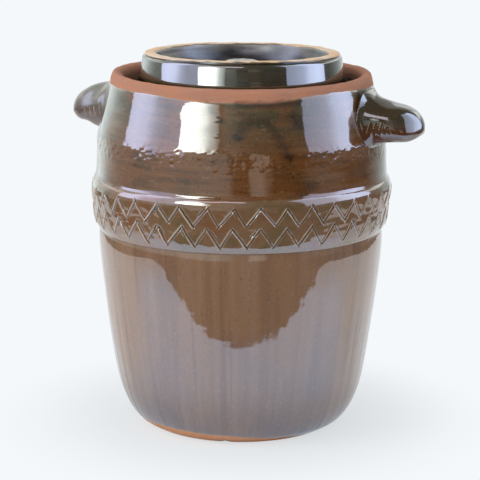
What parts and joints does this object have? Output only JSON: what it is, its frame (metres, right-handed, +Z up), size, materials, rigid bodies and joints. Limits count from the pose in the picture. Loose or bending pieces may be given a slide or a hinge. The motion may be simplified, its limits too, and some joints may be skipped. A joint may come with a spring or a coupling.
{
  "type": "water seal pickle jar",
  "caption": "Glazed clay pickle jar with a raised zigzag band, opposed lug handles, and a dish-shaped lid that stands in a water channel around the mouth.",
  "frame": {"origin": "middle of the flat resting face, on the jar's axis", "axes": "+Z up along the jar's axis, +X out through one lug handle, -Y towards the front"},
  "size_m": [0.306, 0.2408, 0.3],
  "materials": {
    "brown_glaze": "glossy brown glaze over red clay, bare on the rim and foot",
    "dark_glaze": "glossy dark olive glaze over red clay, bare on the lid's rim"
  },
  "bodies": {
    "jar": {"jar_lower": "brown_glaze", "jar_upper": "brown_glaze", "zigzag_band": "brown_glaze", "channel_shelf": "dark_glaze", "neck_collar": "dark_glaze", "lug_handle_right": "brown_glaze", "lug_handle_left": "brown_glaze"},
    "lid": {"lid_dish": "dark_glaze", "lid_skirt": "dark_glaze", "lid_knob": "dark_glaze"}
  },
  "joints": [
    {"name": "lid_lift", "type": "slide", "parent": "jar", "child": "lid", "axis": [0, 0, 1], "range_m": [0, 0.08]}
  ]
}
